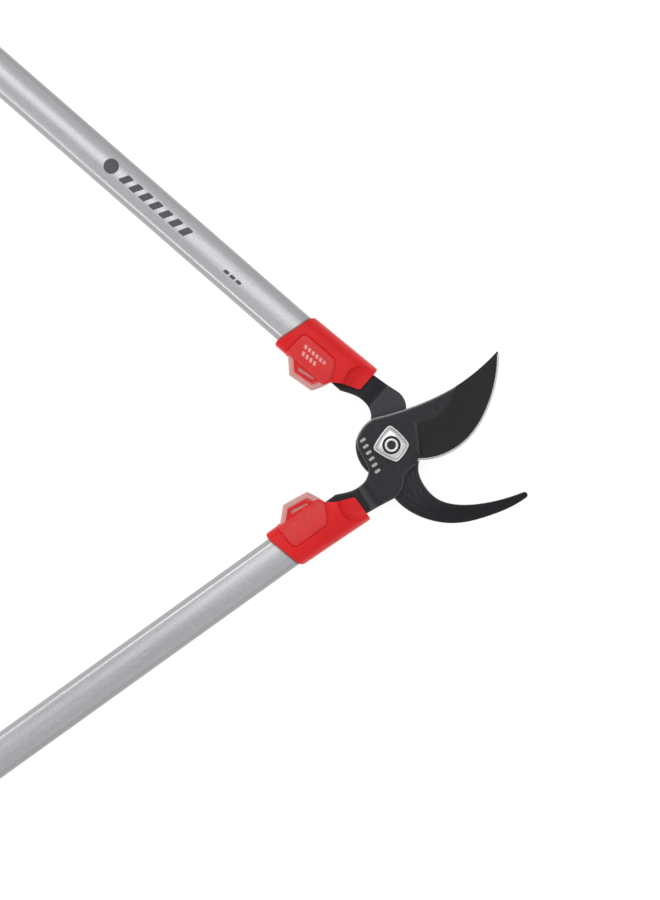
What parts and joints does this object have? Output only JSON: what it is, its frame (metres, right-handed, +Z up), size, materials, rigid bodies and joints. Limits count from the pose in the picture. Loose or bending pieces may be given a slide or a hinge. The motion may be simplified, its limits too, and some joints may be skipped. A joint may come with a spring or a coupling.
{
  "type": "bypass loppers",
  "caption": "Long-handled bypass loppers: a curved blade sweeps past a hooked counter blade, on oval tube handles with bumper stops and rubber grips.",
  "frame": {"origin": "middle of the pivot bolt's end face, on the surface that the tool lies on", "axes": "+Z up along the pivot axis, +X out of the jaws, +Y towards the hook's handle"},
  "size_m": [0.6385, 0.9112, 0.032],
  "materials": {
    "coated_steel": "dark non-stick coating on forged steel, satin",
    "fastener_steel": "plated steel",
    "cap_metal": "satin chrome on a cast cap",
    "bush_bronze": "sintered bronze",
    "satin_tube": "satin silver",
    "red_plastic": "semi-gloss moulded nylon",
    "clear_red_rubber": "milky translucent soft elastomer",
    "inner_plastic": "moulded",
    "grip_rubber": "matt textured",
    "inlay_rubber": "matt soft pad",
    "cap_plastic": "moulded"
  },
  "bodies": {
    "blade_arm": {"cutting_blade": "coated_steel", "pivot_bolt": "fastener_steel", "pivot_cap": "cap_metal", "pivot_washer": "fastener_steel", "pivot_nut": "fastener_steel", "blade_tube": "satin_tube", "blade_ferrule": "red_plastic", "blade_bumper": "clear_red_rubber", "blade_tang_rivets": "fastener_steel", "blade_tang_spacers": "inner_plastic", "blade_grip": "grip_rubber", "blade_grip_inlay": "inlay_rubber", "blade_end_cap": "cap_plastic"},
    "hook_arm": {"hook": "coated_steel", "pivot_bush": "bush_bronze", "hook_tube": "satin_tube", "hook_ferrule": "red_plastic", "hook_bumper": "clear_red_rubber", "hook_tang_rivets": "fastener_steel", "hook_tang_spacers": "inner_plastic", "hook_grip": "grip_rubber", "hook_grip_inlay": "inlay_rubber", "hook_end_cap": "cap_plastic"}
  },
  "joints": [
    {"name": "main_pivot", "type": "hinge", "parent": "blade_arm", "child": "hook_arm", "pos_m": [0, 0, 0.016], "axis": [0, 0, 1], "range_deg": [-16, 62.5]}
  ]
}
